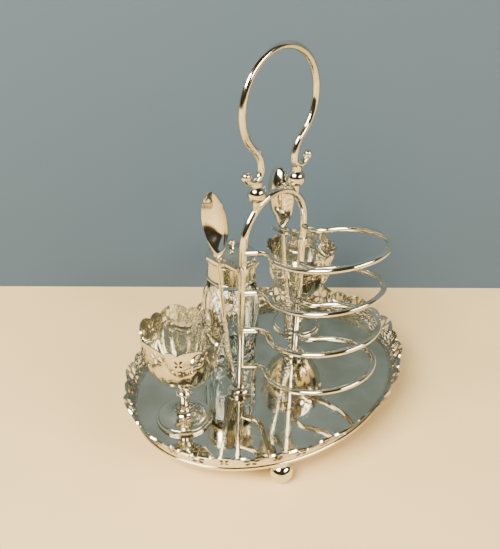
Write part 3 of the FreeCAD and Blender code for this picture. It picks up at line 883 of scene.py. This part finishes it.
def stand_wall(stage):
    """A plain wall that can be seen from its front only."""
    width, height = 8, 3
    away = Vector((math.cos(stage.wall_yaw), math.sin(stage.wall_yaw), 0))
    bpy.ops.mesh.primitive_plane_add(size=1,
                                     location=away * stage.wall_distance + UP * height / 2,
                                     rotation=(math.pi / 2, 0, stage.wall_yaw - math.pi / 2))
    wall = named("wall")
    wall.scale = (width, height, 1)
    material = bpy.data.materials.new("plain wall")
    paint = Paint(material)
    grain = paint.noise(3, 2)
    front = paint.principled(Base_Color=grained(paint, grain, stage.wall, 0.92),
                             Roughness=0.75 + 0.1 * grain)
    clear = paint.node("ShaderNodeBsdfTransparent")
    behind = paint.node("ShaderNodeNewGeometry").outputs["Backfacing"]
    either = paint.node("ShaderNodeMixShader", {}, {0: behind, 1: front.outputs[0],
                                                    2: clear.outputs[0]})
    out = next(node for node in paint.tree.nodes if node.type == "OUTPUT_MATERIAL")
    paint.tree.links.new(either.outputs[0], out.inputs["Surface"])
    wall.data.materials.append(material)
    return wall


def soft_room(stage):
    """A world in the wall's colour ahead of the camera and dark behind it."""
    world = bpy.data.worlds.new("soft room")
    paint = Paint(world)
    sky = paint.node("ShaderNodeTexCoord").outputs["Generated"]
    heading = (math.cos(stage.yaw), math.sin(stage.yaw), 0)
    ahead = Value(paint, paint.node("ShaderNodeVectorMath", {"operation": "DOT_PRODUCT"},
                                    {0: sky, 1: heading}).outputs["Value"])
    colour = paint.mix(ahead.range(-0.35, 0.35), rgba(stage.shade), rgba(stage.wall))
    back = paint.node("ShaderNodeBackground", {}, {"Color": colour, "Strength": 1.0})
    out = paint.node("ShaderNodeOutputWorld")
    paint.tree.links.new(back.outputs[0], out.inputs["Surface"])
    return world


def set_camera(stage):
    bpy.ops.object.camera_add(location=stage.place)
    camera = bpy.context.object
    level = Vector((math.sin(stage.yaw), -math.cos(stage.yaw), 0))
    ahead = Vector((math.cos(stage.pitch) * math.cos(stage.yaw),
                    math.cos(stage.pitch) * math.sin(stage.yaw), -math.sin(stage.pitch)))
    above = level.cross(ahead)
    right = level * math.cos(stage.roll) + above * math.sin(stage.roll)
    above = right.cross(ahead)
    camera.rotation_euler = Matrix((right, above, -ahead)).transposed().to_euler()
    camera.data.sensor_fit = "HORIZONTAL"
    camera.data.sensor_width = 36
    camera.data.lens = stage.lens
    camera.data.clip_start = 0.01
    return camera


# ---- operators -----------------------------------------------------------------------------------
class CRUET_OT_plate_finishes(bpy.types.Operator):
    """Give every piece that keeps its own shape the finish of its material slot"""
    bl_idname = "cruet.plate_finishes"
    bl_label = "Finish turned and bent pieces"

    def execute(self, context):
        for part in frame["record"]["subparts"]:
            node = frame["nodes"][part["node"]]
            node.data.materials.clear()
            node.data.materials.append(finish_for(part["material_slot"]))
        return {"FINISHED"}


class CRUET_OT_gallery(bpy.types.Operator):
    """Model the pierced gallery and the bead at its foot"""
    bl_idname = "cruet.gallery"
    bl_label = "Model the gallery"

    def execute(self, context):
        silver = finish_for("gallery_silver")
        make_gallery(context.scene.cruet_gallery, silver)
        oval_ring("gallery_bead", 1.6, 0.35, 0.75, silver)
        return {"FINISHED"}


class CRUET_OT_egg_cups(bpy.types.Operator):
    """Model the bowls of both egg cups"""
    bl_idname = "cruet.egg_cups"
    bl_label = "Model the egg cups"

    def execute(self, context):
        for side in ("left", "right"):
            make_cup_bowl(side, context.scene.cruet_cup, finish_for("cup_silver"))
        return {"FINISHED"}


class CRUET_OT_spoons(bpy.types.Operator):
    """Model both egg spoons"""
    bl_idname = "cruet.spoons"
    bl_label = "Model the spoons"

    def execute(self, context):
        for side in ("left", "right"):
            make_spoon(side, context.scene.cruet_spoon, finish_for("spoon_silver"))
        return {"FINISHED"}


class CRUET_OT_jar(bpy.types.Operator):
    """Model the cut glass of the jar"""
    bl_idname = "cruet.jar"
    bl_label = "Model the jar"

    def execute(self, context):
        make_jar(context.scene.cruet_jar, finish_for("jar_glass"))
        return {"FINISHED"}


class CRUET_OT_stage(bpy.types.Operator):
    """Set the floor, the wall behind, the soft light and the camera"""
    bl_idname = "cruet.stage"
    bl_label = "Set the stage"

    def execute(self, context):
        stage = context.scene.cruet_stage
        floor = lay_floor(stage)
        wall = stand_wall(stage)
        context.scene.world = soft_room(stage)
        for light in LIGHTS:
            area_light(*light)
        context.scene.camera = set_camera(stage)
        return {"FINISHED"}


class CRUET_PT_sidebar(bpy.types.Panel):
    """The cruet's pieces and settings"""
    bl_idname = "CRUET_PT_sidebar"
    bl_label = "Breakfast Cruet"
    bl_space_type = "VIEW_3D"
    bl_region_type = "UI"
    bl_category = "Cruet"

    def draw(self, context):
        for group in GROUPS:
            settings = getattr(context.scene, group)
            for name in settings.bl_rna.properties.keys():
                if name not in ("rna_type", "name"):
                    self.layout.prop(settings, name)
        for step in STEPS:
            self.layout.operator(step.bl_idname)


GROUPS = {"cruet_finish": FinishSettings, "cruet_gallery": GallerySettings,
          "cruet_cup": CupSettings, "cruet_spoon": SpoonSettings, "cruet_jar": JarSettings,
          "cruet_stage": StageSettings}
STEPS = (CRUET_OT_plate_finishes, CRUET_OT_gallery, CRUET_OT_egg_cups, CRUET_OT_spoons,
         CRUET_OT_jar, CRUET_OT_stage)


def register():
    for group, kind in GROUPS.items():
        bpy.utils.register_class(kind)
        setattr(bpy.types.Scene, group, bpy.props.PointerProperty(type=kind))
    for kind in STEPS + (CRUET_PT_sidebar,):
        bpy.utils.register_class(kind)


def unregister():
    for kind in reversed(STEPS + (CRUET_PT_sidebar,)):
        bpy.utils.unregister_class(kind)
    for group, kind in reversed(GROUPS.items()):
        delattr(bpy.types.Scene, group)
        bpy.utils.unregister_class(kind)


def main():
    register()
    deselect()
    for step in STEPS:
        area, name = step.bl_idname.split(".")
        getattr(getattr(bpy.ops, area), name)()
    deselect()


if __name__ == "__main__":
    main()
